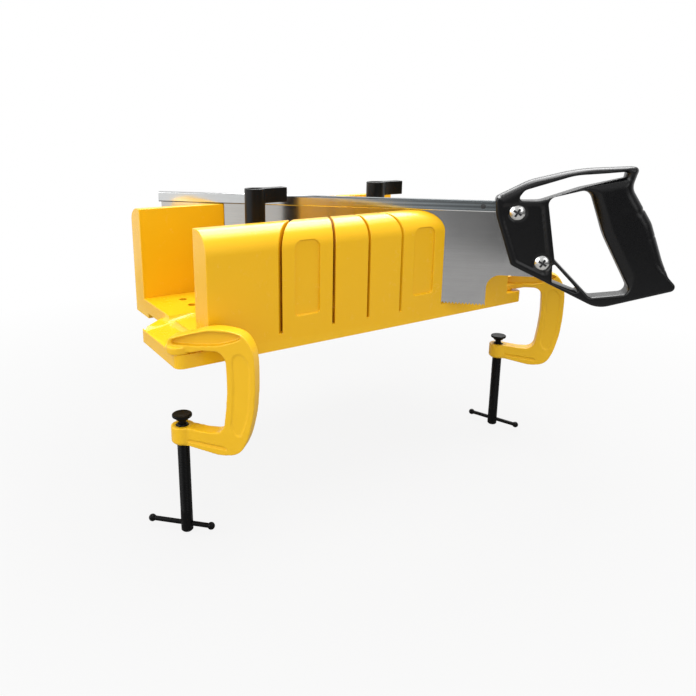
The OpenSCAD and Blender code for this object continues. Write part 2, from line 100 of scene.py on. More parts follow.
FLAT_ANGLE = math.radians(0.4)
CREASE_ANGLE = math.radians(32)
KEPT_ANGLE = math.radians(40)

Colour = tuple[float, float, float]
Point = tuple[float, float]
Radius = float | Callable[[float], float]
Loop = np.ndarray


class Sock:
    """An output socket that takes part in shader maths as a Python value."""

    def __init__(self, tree: "ShaderTree", socket: NodeSocket) -> None:
        """Keeps the socket and the tree that it belongs to."""
        self.tree = tree
        self.socket = socket

    def _math(self, operation: str, first: Any, second: Any = 0.0, clamp: bool = False) -> "Sock":
        """Adds one Math node.

        Args:
            operation: Name of the Math node's operation.
            first: First value or socket.
            second: Second value or socket.
            clamp: Whether the result is kept between 0 and 1.

        Returns:
            The result's socket.
        """
        settings = {"operation": operation, "use_clamp": clamp}
        return self.tree.make("Math", settings, {0: first, 1: second})

    def __add__(self, other: Any) -> "Sock":
        """Sum."""
        return self._math("ADD", self, other)

    __radd__ = __add__

    def __sub__(self, other: Any) -> "Sock":
        """Difference."""
        return self._math("SUBTRACT", self, other)

    def __rsub__(self, other: Any) -> "Sock":
        """Reflected difference."""
        return self._math("SUBTRACT", other, self)

    def __mul__(self, other: Any) -> "Sock":
        """Product."""
        return self._math("MULTIPLY", self, other)

    __rmul__ = __mul__

    def __truediv__(self, other: Any) -> "Sock":
        """Quotient."""
        return self._math("DIVIDE", self, other)

    def __rtruediv__(self, other: Any) -> "Sock":
        """Reflected quotient."""
        return self._math("DIVIDE", other, self)

    def clamped(self) -> "Sock":
        """The value kept between 0 and 1."""
        return self._math("ADD", self, 0.0, clamp=True)

    def rise(self, low: float, high: float) -> "Sock":
        """The value stretched so that low gives 0 and high gives 1, and kept between them."""
        return ((self - low) / (high - low)).clamped()


class ShaderTree:
    """The nodes of one material or of the world."""

    def __init__(self, owner: Material | World) -> None:
        """Clears the owner's nodes and starts a new tree."""
        owner.use_nodes = True
        self.tree = owner.node_tree
        self.tree.nodes.clear()

    def make(self, kind: str, settings: dict[str, Any] | None = None,
             inputs: dict[str | int, Any] | None = None, output: str | int = 0) -> Sock:
        """Adds one node.

        Args:
            kind: The node's type, without ShaderNode before it.
            settings: Its properties, set first. The two grey stops of a ramp are "stops".
            inputs: Values or sockets by the name or number of the input.
            output: Name or number of the output to return.

        Returns:
            The chosen output.
        """
        node = self.tree.nodes.new("ShaderNode" + kind)
        for key, value in (settings or {}).items():
            if key == "stops":
                for element, (place, grey) in zip(node.color_ramp.elements, value):
                    element.position, element.color = place, (grey, grey, grey, 1.0)
            else:
                setattr(node, key, value)
        for key, value in (inputs or {}).items():
            if isinstance(value, Sock):
                self.tree.links.new(value.socket, node.inputs[key])
            else:
                node.inputs[key].default_value = value
        return Sock(self, node.outputs[output]) if node.outputs else Sock(self, node.inputs[0])

    def object_coords(self, stretch: Sequence[float] = (1, 1, 1), turn: float = 0.0) -> Sock:
        """Places on the object in metres.

        Args:
            stretch: Factors along the three axes after the turn.
            turn: Turn about Z in radians.

        Returns:
            The vector socket.
        """
        place = self.make("TexCoord", output="Object")
        turned = self.make("Mapping", {}, {"Vector": place, "Rotation": (0, 0, turn)})
        return self.make("Mapping", {}, {"Vector": turned, "Scale": tuple(stretch)})

    def part(self, vector: Sock, axis: str) -> Sock:
        """One of the three values of a vector."""
        return self.make("SeparateXYZ", {}, {0: vector}, axis)

    def noise(self, place: Sock, scale: float, detail: float = 2.0, rough: float = 0.5) -> Sock:
        """A noise value between 0 and 1 at the given scale per metre."""
        inputs = {"Vector": place, "Scale": scale, "Detail": detail, "Roughness": rough}
        return self.make("TexNoise", {}, inputs)

    def ramp(self, value: Sock, stops: Sequence[tuple[float, float]]) -> Sock:
        """A value sent through a grey ramp."""
        return self.make("ValToRGB", {"stops": stops}, {"Fac": value})

    def blend(self, factor: Any, low: Any, high: Any) -> Sock:
        """A colour between two colours, given as tuples or sockets."""
        ends = {6 + i: end if isinstance(end, Sock) else (*end, 1.0) for i, end in enumerate((low, high))}
        return self.make("Mix", {"data_type": "RGBA"}, {0: factor, **ends}, output=2)

    def bump(self, height: Sock, distance: float) -> Sock:
        """A normal from a height, with its depth in metres."""
        return self.make("Bump", {}, {"Height": height, "Distance": distance, "Strength": 1.0})

    def edges(self, low: float, high: float) -> Sock:
        """A mask of convex edges, from the mesh's pointiness."""
        return self.make("NewGeometry", output="Pointiness").rise(low, high)

    def surface(self, inputs: dict[str | int, Any]) -> None:
        """Ends the tree in one principled surface."""
        shader = self.make("BsdfPrincipled", {}, inputs)
        self.make("OutputMaterial", {}, {"Surface": shader})


@dataclass(frozen=True)
class Finish:
    """Common part of all finishes."""

    name: str
    slot: str

    def material(self) -> Material:
        """Makes the finish's material once.

        Returns:
            The material.
        """
        material = bpy.data.materials.get(self.name)
        if not material:
            material = bpy.data.materials.new(self.name)
            self.build(ShaderTree(material))
        return material

    def build(self, tree: ShaderTree) -> None:
        """Adds the finish's nodes.

        Args:
            tree: The empty tree of the material.
        """
        raise NotImplementedError


@dataclass(frozen=True)
class MouldedPlastic(Finish):
    """Moulded plastic with a fine spark-eroded grain and edges rubbed by handling."""

    colour: Colour
    deep_colour: Colour
    edge_colour: Colour
    roughness: float
    grain_scale: float
    grain_depth: float
    specular: float = 0.5

    def build(self, tree: ShaderTree) -> None:
        """Adds clouded colour, grain and rubbed edges."""
        place = tree.object_coords()
        cloud = tree.noise(place, 14.0, 3.0)
        speck = tree.noise(place, self.grain_scale, 2.0, 0.6)
        scuff = tree.ramp(tree.noise(place, 90.0, 4.0, 0.7), [(0.56, 0.0), (0.78, 1.0)])
        rubbed = tree.edges(0.52, 0.62)
        body = tree.blend(cloud, self.deep_colour, self.colour)
        colour = tree.blend(rubbed * 0.5, body, self.edge_colour)
        rough = self.roughness + (speck - 0.5) * 0.10 + (cloud - 0.5) * 0.08 + scuff * 0.05
        tree.surface({"Base Color": colour, "Roughness": (rough - rubbed * 0.06).clamped(),
                      "Specular IOR Level": self.specular,
                      "Normal": tree.bump(speck, self.grain_depth)})


@dataclass(frozen=True)
class EnamelledCasting(Finish):
    """Enamel over a sand casting: soft orange peel, a glossy coat and thinner paint on the edges."""

    colour: Colour
    deep_colour: Colour
    edge_colour: Colour

    def build(self, tree: ShaderTree) -> None:
        """Adds the peel of the paint and the swell of the casting below it."""
        place = tree.object_coords()
        swell = tree.noise(place, 120.0)
        peel = tree.noise(place, 520.0)
        cloud = tree.noise(place, 30.0, 3.0)
        rubbed = tree.edges(0.53, 0.64)
        body = tree.blend(cloud, self.deep_colour, self.colour)
        colour = tree.blend(rubbed * 0.55, body, self.edge_colour)
        height = swell * 0.7 + peel * 0.3
        tree.surface({"Base Color": colour, "Roughness": (0.30 + peel * 0.14).clamped(),
                      "Specular IOR Level": 0.3, "Coat Weight": 0.12, "Coat Roughness": 0.22,
                      "Normal": tree.bump(height, 0.16 * MM)})


@dataclass(frozen=True)
class GroundSteel(Finish):
    """Ground and polished spring steel with fine lines along the cut."""

    colour: Colour
    heel_shade_colour: Colour
    roughness: float
    line_scale: float
    turn: float
    fade_from: float = 0.02
    fade_to: float = 0.10
    crest_shade_level: float = 1.0
    crest_slope: Point = (0.12, 0.42)
    lip_gain: float = 0.0
    lip_slope: Point = (-0.12, -0.32)
    groove_pitch: float = 0.35
    groove_start: float = 0.61
    groove_shade_depth: float = 0.0
    heel_side_reach: float = 0.06
    line_depth: float = 0.006 * MM
    lip_shade_colour: Colour = (0.14, 0.14, 0.145)
    lip_highlight_colour: Colour = (0.95, 0.96, 0.96)

    def build(self, tree: ShaderTree) -> None:
        """Adds grinding lines and handling marks, with painted shade toward the heel, on the up-facing crest,
        in dark groove bands and on the toe side of the lower lip, and a painted highlight on the heel side of
        the lower lip.
        """
        along = tree.object_coords((0.02, 1.0, 1.0), self.turn)
        lines = tree.noise(along, self.line_scale, 3.0, 0.65)
        place = tree.object_coords()
        smudge = tree.ramp(tree.noise(place, 22.0, 5.0, 0.6), [(0.42, 0.0), (0.72, 1.0)])
        reach = tree.part(tree.object_coords(turn=self.turn), "X")
        # Painted shade: the steel is drawn darker toward the heel.
        heel = reach.rise(self.fade_from, self.fade_to)
        clean = tree.blend(heel, self.colour, self.heel_shade_colour)
        marked = tree.blend(heel, tuple(0.86 * part for part in self.colour),
                            tuple(0.80 * part for part in self.heel_shade_colour))
        up = tree.part(tree.make("TexCoord", output="Normal"), "Z")
        heel_side = reach.rise(-self.heel_side_reach, 0.0)
        # Painted shade: up-facing faces on the heel side are drawn darker.
        crest = up.rise(*self.crest_slope) * heel_side * (1.0 - self.crest_shade_level)
        crest_shade_colour = tuple(self.crest_shade_level * part for part in self.heel_shade_colour)
        # Painted light on the down-facing lower lip: a painted highlight on the heel side, painted shade on
        # the toe side.
        lip = up.rise(*self.lip_slope) * self.lip_gain
        # Painted shade: dark bands along the back where its grooves stand, toward the heel.
        level = tree.part(tree.make("TexCoord", output="Generated"), "Z")
        turns = (level - self.groove_start) * (2 * math.pi / self.groove_pitch)
        groove = 0.5 - tree.make("Math", {"operation": "COSINE"}, {0: turns}) * 0.5
        ground = tree.blend(lines * 0.6 + smudge * 0.3, clean, marked)
        rolled = tree.blend(groove * heel * self.groove_shade_depth, ground, (0.0, 0.0, 0.0))
        painted_lip = tree.blend(lip, rolled, tree.blend(heel_side, self.lip_shade_colour, self.lip_highlight_colour))
        colour = tree.blend(crest, painted_lip, crest_shade_colour)
        rough = self.roughness + (lines - 0.5) * 0.10 + smudge * 0.06 + crest * 0.35
        tree.surface({"Base Color": colour, "Metallic": 1.0, "Roughness": rough.clamped(),
                      "Normal": tree.bump(lines, self.line_depth)})


@dataclass(frozen=True)
class PlatedSteel(Finish):
    """Bright plated fasteners with dull mottling and painted shade in the recesses."""

    colour: Colour
    roughness: float

    def build(self, tree: ShaderTree) -> None:
        """Adds a mottled plating and painted shade in the hollows."""
        place = tree.object_coords()
        mottle = tree.noise(place, 700.0, 3.0, 0.6)
        # Painted shade: concave places are drawn darker, mixed with the plating's dull mottle.
        hollow_shade = 1.0 - tree.edges(0.40, 0.50)
        dull_and_shade_colour = tuple(0.45 * part for part in self.colour)
        spots = (hollow_shade * 0.7 + mottle * 0.15).clamped()
        tree.surface({"Base Color": tree.blend(spots, self.colour, dull_and_shade_colour), "Metallic": 1.0,
                      "Roughness": (self.roughness + mottle * 0.12).clamped(),
                      "Normal": tree.bump(mottle, 0.01 * MM)})


@dataclass(frozen=True)
class BlackenedSteel(Finish):
    """Blackened and oiled steel, rubbed a little brighter on its crests."""

    colour: Colour
    worn_colour: Colour
    roughness: float

    def build(self, tree: ShaderTree) -> None:
        """Adds oily mottling and rubbed crests."""
        place = tree.object_coords()
        mottle = tree.noise(place, 420.0, 4.0, 0.6)
        crest = tree.edges(0.53, 0.66)
        colour = tree.blend((crest * 0.35 + mottle * 0.12).clamped(), self.colour, self.worn_colour)
        tree.surface({"Base Color": colour, "Metallic": 0.0, "Specular IOR Level": 0.12,
                      "Roughness": (self.roughness + (mottle - 0.5) * 0.16).clamped(),
                      "Normal": tree.bump(mottle, 0.02 * MM)})


@dataclass(frozen=True)
class PaleFloor(Finish):
    """Pale floor that stays white to the eye and keeps the object's shadow."""

    colour: Colour
    lift: float
    fade_from: float
    fade_to: float
    gloss_share: float = 0.12

    def build(self, tree: ShaderTree) -> None:
        """Mixes a diffuse floor with a white for the camera, more of it far out, and in part for metal."""
        place = tree.object_coords()
        grain = tree.noise(place, 3.0, 3.0)
        away = tree.make("VectorMath", {"operation": "LENGTH"}, {0: place}, "Value")
        far = away.rise(self.fade_from, self.fade_to)
        low = tuple(0.985 * part for part in self.colour)
        diffuse = tree.make("BsdfDiffuse", {}, {"Color": tree.blend(grain, low, self.colour)})
        white = tree.make("Emission", {}, {"Color": (1, 1, 1, 1), "Strength": 1.0})
        seen = tree.make("LightPath", output="Is Camera Ray")
        mirrored = tree.make("LightPath", output="Is Glossy Ray") * self.gloss_share
        share = seen * (self.lift + far * (1.0 - self.lift)) + mirrored
        mixed = tree.make("MixShader", {}, {0: share, 1: diffuse, 2: white})
        tree.make("OutputMaterial", {}, {"Surface": mixed})


class Shop(Enum):
    """The finishes of this object and of its stage."""

    YELLOW_MOULDING = MouldedPlastic("yellow moulding", "yellow_moulding", (0.86, 0.475, 0.007),
                                     (0.84, 0.455, 0.006), (0.93, 0.59, 0.03), 0.25, 1500.0, 0.012 * MM, 0.38)
    BLACK_MOULDING = MouldedPlastic("black moulding", "black_moulding", (0.0022, 0.0022, 0.0023),
                                    (0.0016, 0.0016, 0.0017), (0.008, 0.008, 0.008), 0.34, 1300.0,
                                    0.02 * MM, 0.28)
    HANDLE_MOULDING = MouldedPlastic("handle moulding", "handle_moulding", (0.0020, 0.0021, 0.0028),
                                     (0.0014, 0.0015, 0.0020), (0.009, 0.010, 0.012), 0.29, 1100.0,
                                     0.015 * MM, 0.38)
    YELLOW_CASTING = EnamelledCasting("yellow casting", "yellow_casting", (0.86, 0.50, 0.012),
                                      (0.82, 0.46, 0.011), (0.93, 0.62, 0.05))
    # Both steels are drawn with painted shade toward the heel, through their second colour.
    BLADE = GroundSteel("ground blade steel", "blade_steel", (0.64, 0.62, 0.585), (0.61, 0.61, 0.61), 0.14,
                        900.0, math.radians(45))
    # The back adds painted shade on its crest, in groove bands and on its toe-side lip, and a painted
    # highlight on its heel-side lip.
    BACK = GroundSteel("folded back steel", "blade_steel", (0.74, 0.75, 0.75), (0.60, 0.66, 0.69), 0.14,
                       1400.0, math.radians(45), crest_shade_level=0.05, lip_gain=1.0, groove_shade_depth=0.45)
    BRIGHT_ZINC = PlatedSteel("bright zinc", "bright_zinc", (0.80, 0.80, 0.79), 0.16)
    BLACK_STEEL = BlackenedSteel("blackened steel", "black_steel", (0.0018, 0.0018, 0.0019),
                                 (0.012, 0.012, 0.012), 0.34)
    # Painted shade: a dark grey finish standing in for the shade in the screws' cross recesses, also put on
    # the rivet.
    RECESS_SHADE = BlackenedSteel("shaded recess", "bright_zinc", (0.045, 0.046, 0.048), (0.10, 0.10, 0.10), 0.45)
    FLOOR = PaleFloor("pale floor", "", (0.28, 0.277, 0.273), 0.88, 0.30, 0.75)


def link(name: str, data: bpy.types.ID) -> Object:
    """Links mesh, lamp or camera data to the scene as an object."""
    obj = bpy.data.objects.new(name, data)
    bpy.context.scene.collection.objects.link(obj)
    return obj


def new_object(name: str, bm: BMesh, crease: float = math.pi) -> Object:
    """Turns a bmesh into a linked, smooth-shaded object.

    Args:
        name: Name of the piece.
        bm: The mesh, which is freed.
        crease: Angle above which shading breaks at an edge.

    Returns:
        The new object.
    """
    mesh = bpy.data.meshes.new(name)
    bm.normal_update()
    bm.to_mesh(mesh)
    bm.free()
    mesh.polygons.foreach_set("use_smooth", [True] * len(mesh.polygons))
    if crease < math.pi:
        mesh.set_sharp_from_angle(angle=crease)
    return link(name, mesh)


def node_bmesh(node: Object, dissolve: bool = True) -> BMesh:
    """Copies a CAD node's shape with its seams closed and its flat faces joined.

    Args:
        node: The CAD node's object.
        dissolve: Whether flat faces are joined.

    Returns:
        A new bmesh without the node's own normals.
    """
    source = bmesh.new()
    source.from_mesh(node.data)
    bmesh.ops.remove_doubles(source, verts=source.verts, dist=WELD)
    if dissolve:
        bmesh.ops.dissolve_limit(source, angle_limit=FLAT_ANGLE, verts=source.verts[:],
                                 edges=source.edges[:])
    source.verts.index_update()
    mesh = bpy.data.meshes.new("shape")
    corners = [[v.index for v in f.verts] for f in source.faces]
    mesh.from_pydata([v.co[:] for v in source.verts], [], corners)
    source.free()
    bm = bmesh.new()
    bm.from_mesh(mesh)
    bpy.data.meshes.remove(mesh)
    bmesh.ops.recalc_face_normals(bm, faces=bm.faces)
    return bm


def softened(name: str, bm: BMesh, width: float, segments: int = 3,
             wanted: Callable[[BMEdge], float] | None = None,
             slide: bool = True) -> Object:
    """Makes an object whose sharp edges are rounded.

    Args:
        name: Name of the piece.
        bm: Its sharp shape, which is freed.
        width: Size of the rounding in metres.
        segments: Faces across each rounding.
        wanted: Share of the full rounding that a sharp edge gets; all of it if it is left out.
        slide: Whether a rounding may run along the joining edges of a face.

    Returns:
        The new object, with its roundings and normals in its mesh.
    """
    weight = bm.edges.layers.float.new("bevel_weight_edge")
    for edge in bm.edges:
        sharp = len(edge.link_faces) == 2 and edge.calc_face_angle(0.0) > CREASE_ANGLE
        edge[weight] = (1.0 if wanted is None else float(wanted(edge))) if sharp else 0.0
        edge.smooth = not sharp or edge[weight] > 0
    obj = new_object(name, bm)
    bevel = obj.modifiers.new("rounded edges", "BEVEL")
    bevel.limit_method = "WEIGHT"
    bevel.width = width
    bevel.segments = segments
    bevel.use_clamp_overlap = False
    bevel.loop_slide = slide
    bevel.miter_outer = "MITER_ARC"
    baked(obj)
    obj.data.set_sharp_from_angle(angle=KEPT_ANGLE)
    normals = obj.modifiers.new("flat faces", "WEIGHTED_NORMAL")
    normals.keep_sharp = True
    return baked(obj)


def baked(obj: Object) -> Object:
    """Applies an object's modifiers to its mesh.

    Args:
        obj: The object.

    Returns:
        The same object.
    """
    bpy.context.view_layer.update()
    view = bpy.context.evaluated_depsgraph_get()
    mesh = bpy.data.meshes.new_from_object(obj.evaluated_get(view))
    old = obj.data
    obj.modifiers.clear()
    obj.data = mesh
    bpy.data.meshes.remove(old)
    mesh.name = obj.name
    return obj


def cut_from(obj: Object, cutter: Object) -> Object:
    """Cuts one object out of another.

    Args:
        obj: The object that is cut.
        cutter: The shape to take away, which is removed.

    Returns:
        The cut object.
    """
    cut = obj.modifiers.new("cut", "BOOLEAN")
    cut.operation = "DIFFERENCE"
    cut.solver = "EXACT"
    cut.object = cutter
    baked(obj)
    bpy.data.objects.remove(cutter)
    return obj


def lathe(name: str, profile: Sequence[tuple[Radius, float]], *places: Matrix, sides: int = 48) -> Object:
    """Turns a closed profile about the local Z axis.

    Args:
        name: Name of the piece.
        profile: Radius and height of each point, from the lower end to the upper end on the axis. A radius
            may be a function of the angle.
        places: Matrices that put the shape in its place, or in several.
        sides: Faces around.

    Returns:
        The turned object, with its places in its mesh.
    """
    bm = bmesh.new()
    turns = [2 * math.pi * i / sides for i in range(sides)]
    for place in places:
        rings: list[list[BMVert]] = []
        for radius, height in profile:
            spots = [(0.0, 0.0, height)]
            if callable(radius) or radius > 1e-9:
                reach = [radius(a) if callable(radius) else radius for a in turns]
                spots = [(r * math.cos(a), r * math.sin(a), height) for r, a in zip(reach, turns)]
            rings.append([bm.verts.new(place @ Vector(spot)) for spot in spots])
        for low, high in zip(rings, rings[1:]):
            for i in range(max(len(low), len(high))):
                around = ((low, i), (low, i + 1), (high, i + 1), (high, i))
                corners = list(dict.fromkeys(ring[j % len(ring)] for ring, j in around))
                if len(corners) > 2:
                    bm.faces.new(corners)
    bmesh.ops.recalc_face_normals(bm, faces=bm.faces)
    return new_object(name, bm, CREASE_ANGLE)


def rounded_profile(corners: Sequence[tuple[float, float, float]], steps: int = 5) -> list[Point]:
    """Rounds the corners of a profile.

    Args:
        corners: Radius, height and corner size of each point.
        steps: Segments in each rounding.

    Returns:
        The points of the rounded profile.
    """
    points: list[Point] = []
    for index, (x, y, size) in enumerate(corners):
        if size <= 0 or index in (0, len(corners) - 1):
            points.append((x, y))
            continue
        here = Vector((x, y))
        before = (Vector(corners[index - 1][:2]) - here).normalized() * size
        after = (Vector(corners[index + 1][:2]) - here).normalized() * size
        for i in range(steps + 1):
            t = i / steps
            spot = here + before * (1 - t) ** 2 + after * t ** 2
            points.append((spot.x, spot.y))
    return points


def smooth_step(low: float, high: float, value: np.ndarray) -> np.ndarray:
    """A soft step from 0 at low to 1 at high."""
    t = np.clip((value - low) / (high - low), 0, 1)
    return t * t * (3 - 2 * t)


def loop_distance(points: np.ndarray, loops: Sequence[Loop]) -> np.ndarray:
    """Distance of points from the nearest of some closed loops."""
    return np.min([nearest_edge(points, loop)[0] for loop in loops], axis=0)


def nearest_edge(points: np.ndarray, loop: Loop) -> tuple[np.ndarray, np.ndarray]:
    """Finds the nearest place on a closed loop.

    Args:
        points: Places on the face.
        loop: The closed loop.

    Returns:
        The distance of each point from the loop and the outward direction of the nearest straight piece.
    """
    best = np.full(len(points), 1e9)
    outward = np.zeros_like(points)
    way = 1.0 if loop_area(loop) > 0 else -1.0
    for a, d in zip(loop, np.roll(loop, -1, axis=0) - loop):
        share = np.clip(((points - a) @ d) / max(float(d @ d), 1e-18), 0, 1)
        length = np.linalg.norm(a + share[:, None] * d - points, axis=1)
        closer = length < best
        best[closer] = length[closer]
        outward[closer] = way * np.array((d[1], -d[0])) / max(float(np.linalg.norm(d)), 1e-12)
    return best, outward


def in_loop(points: np.ndarray, loop: Loop) -> np.ndarray:
    """Tests which points lie inside a closed loop.

    Args:
        points: Places on the face.
        loop: The closed loop.

    Returns:
        True for each point inside.
    """
    inside = np.zeros(len(points), bool)
    for (x0, y0), (x1, y1) in zip(loop, np.roll(loop, -1, axis=0)):
        if y0 == y1:
            continue
        crosses = (y0 > points[:, 1]) != (y1 > points[:, 1])
        at = x0 + (points[:, 1] - y0) * (x1 - x0) / (y1 - y0)
        inside ^= crosses & (points[:, 0] < at)
    return inside


def loop_area(loop: Loop) -> float:
    """Signed area inside a loop."""
    after = np.roll(loop, -1, axis=0)
    return float((loop[:, 0] * after[:, 1] - after[:, 0] * loop[:, 1]).sum() / 2)


def even_loop(loop: Loop, spacing: float) -> Loop:
    """Puts further points on the long pieces of a loop.

    Args:
        loop: The closed loop.
        spacing: The longest piece that stays.

    Returns:
        The finer loop.
    """
    points = []
    for a, b in zip(loop, np.roll(loop, -1, axis=0)):
        count = max(1, int(math.ceil(np.linalg.norm(b - a) / spacing)))
        points += [a + (b - a) * i / count for i in range(count)]
    return np.array(points)


@dataclass
class ReliefPlate:
    """A plate with openings whose half thickness follows a formula over its face."""

    outline: Loop
    openings: list[Loop]
    half: Callable[[np.ndarray], np.ndarray]
    edge_steps: Sequence[float]
    spacing: float

    def distance(self, points: np.ndarray) -> np.ndarray:
        """Distance of points from the nearest edge of the plate."""
        return loop_distance(points, [self.outline, *self.openings])

    def covers(self, points: np.ndarray) -> np.ndarray:
        """Tests which points lie on the plate and not in an opening.

        Args:
            points: Places on the face.

        Returns:
            True for each point on the plate.
        """
        on = in_loop(points, self.outline)
        for loop in self.openings:
            on &= ~in_loop(points, loop)
        return on

    def inner_points(self, border: list[Loop]) -> np.ndarray:
        """Spreads points inside the plate: rows that follow the edges, then a grid.

        Args:
            border: The outline and the openings, with even points.

        Returns:
            The points.
        """
        rows = []
        for depth in self.edge_steps:
            for number, loop in enumerate(border):
                inward = 1.0 if (loop_area(loop) > 0) == (number == 0) else -1.0
                along = np.roll(loop, -1, axis=0) - np.roll(loop, 1, axis=0)
                along /= np.maximum(np.linalg.norm(along, axis=1), 1e-12)[:, None]
                moved = loop + inward * depth * np.stack([-along[:, 1], along[:, 0]], axis=1)
                near = self.distance(moved)
                keep = self.covers(moved) & (near > depth * 0.93)
                rows.append(moved[keep])
        low = self.outline.min(0)
        high = self.outline.max(0)
        across, up = np.meshgrid(*(np.arange(low[i], high[i], self.spacing) for i in (0, 1)))
        grid = np.stack([across.ravel(), up.ravel()], axis=1)
        grid = grid[self.covers(grid)]
        grid = grid[self.distance(grid) > self.edge_steps[-1] + self.spacing * 0.55]
        return np.concatenate([*rows, grid])

    def build(self) -> BMesh:
        """Builds both faces and the edge between them.

        Returns:
            The closed shape, with X along, Y across and Z up.
        """
        border = [even_loop(loop, self.spacing) for loop in [self.outline, *self.openings]]
        rim = np.concatenate(border)
        edges: list[tuple[int, int]] = []
        first = 0
        for loop in border:
            count = len(loop)
            edges += [(first + i, first + (i + 1) % count) for i in range(count)]
            first += count
        points = np.concatenate([rim, self.inner_points(border)])
        found = delaunay_2d_cdt([Vector(p) for p in points], edges, [], 0, 1e-7)
        flat = np.array([v[:] for v in found[0]])
        corners = np.array([f for f in found[2] if len(f) == 3])
        corners = corners[self.covers(flat[corners].mean(axis=1))]
        half = self.half(flat)
        bm = bmesh.new()
        sides = []
        for sign in (-1.0, 1.0):
            sides.append([bm.verts.new((p[0], sign * h, p[1])) for p, h in zip(flat, half)])
            for triangle in corners:
                bm.faces.new([sides[-1][i] for i in triangle])
        other = dict(zip(*sides))
        for edge in [e for e in bm.edges if e.is_boundary and e.verts[0] in other]:
            a, b = edge.verts
            bm.faces.new([a, b, other[b], other[a]])
        loose = [v for v in bm.verts if not v.link_faces]
        bmesh.ops.delete(bm, geom=loose, context="VERTS")
        bmesh.ops.recalc_face_normals(bm, faces=bm.faces)
        return bm


class Piece:
    """Common steps that put a dressed piece on the frame."""

    frame: dict[str, Any] = {}

    @classmethod
    def node(cls, name: str) -> Object:
        """The CAD node of that name."""
        return cls.frame["nodes"][name]

    @classmethod
    def points(cls, name: str, into: Matrix = Matrix()) -> np.ndarray:
        """Places of a CAD node's corners, turned by a matrix."""
        return np.array([(into @ v.co)[:] for v in cls.node(name).data.vertices])

    @staticmethod
    def dress(obj: Object, finish: Shop) -> Object:
        """Gives an object one finish."""
        obj.data.materials.clear()
        obj.data.materials.append(finish.value.material())
        return obj

    @classmethod
    def settle(cls, obj: Object, body: str, finish: Shop, *nodes: str) -> Object:
        """Dresses a piece, puts it on its body and lets it stand for its nodes.

        Args:
            obj: The piece, in its place.
            body: Name of the body that it rides on.
            finish: Its finish.
            nodes: The CAD nodes that it stands for.

        Returns:
            The piece.
        """
        cls.dress(obj, finish)
        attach(obj, body)
        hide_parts(*nodes)
        LOG.info("%s rides on %s with %d faces", obj.name, body, len(obj.data.polygons))
        return obj

    @classmethod
    def keep(cls, node: str, finish: Shop) -> None:
        """Dresses a CAD node that is shown as it is."""
        cls.dress(cls.node(node), finish)
        LOG.info("%s keeps its shape", node)


@dataclass
class MitreBox(Piece):
    """The moulded box with its slots, panels, tabs and peg holes."""

    body: str = "box"
    edge_round: float = 0.8 * MM
    bed_level: float = 18.5 * MM
    channel_level: float = 5.5 * MM
    tab_level: float = 11.55 * MM
    fillet_start: float = 0.4 * MM
    fillet_reach: float = 7.0 * MM
    fillet_rear: float = 5.7 * MM
    inner_depth: float = 66.5 * MM
    tab_left: float = 27.5 * MM
    tab_right: float = 24.5 * MM
    groove_y: float = -11.5 * MM
    groove_reach: float = 11.0 * MM

    def on_outside(self, edge: BMEdge) -> bool:
        """Whether the mould rounds an edge: not in the bed's grooves, in a hole or round a channel below.

        Args:
            edge: A sharp edge of the box.

        Returns:
            True for the edges of the walls, panels, slots and tabs.
        """
        middle = (edge.verts[0].co + edge.verts[1].co) / 2
        low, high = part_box("mitre_box")
        between = low.x + self.tab_left < middle.x < high.x - self.tab_right
        in_bed = between and abs(middle.y) < self.inner_depth
        in_groove = middle.x < low.x + self.tab_left and abs(middle.y - self.groove_y) < self.groove_reach
        flat = (in_bed or in_groove) and middle.z < self.bed_level
        beyond = max(low.x + self.tab_left - middle.x, middle.x - high.x + self.tab_right)
        beside = self.fillet_start < beyond < self.fillet_reach and middle.y < self.fillet_rear
        in_fillet = beside and self.tab_level < middle.z < self.bed_level
        return not (flat or in_fillet) and max(vert.co.z for vert in edge.verts) > self.channel_level

    def build(self) -> None:
        """Builds the rounded box."""
        shape = node_bmesh(self.node("mitre_box"))
        obj = softened("moulded_box", shape, self.edge_round, 3, self.on_outside)
        self.settle(obj, self.body, Shop.YELLOW_MOULDING, "mitre_box")


@dataclass
class CamPeg(Piece):
    """A cam peg with a dished post and a waisted lever."""

    side: str
    edge_round: float = 0.7 * MM

    def build(self) -> None:
        """Builds the rounded peg."""
        node = "cam_peg_" + self.side
        obj = softened("peg_" + self.side, node_bmesh(self.node(node)), self.edge_round, 3)
        self.settle(obj, "peg_" + self.side, Shop.BLACK_MOULDING, node)


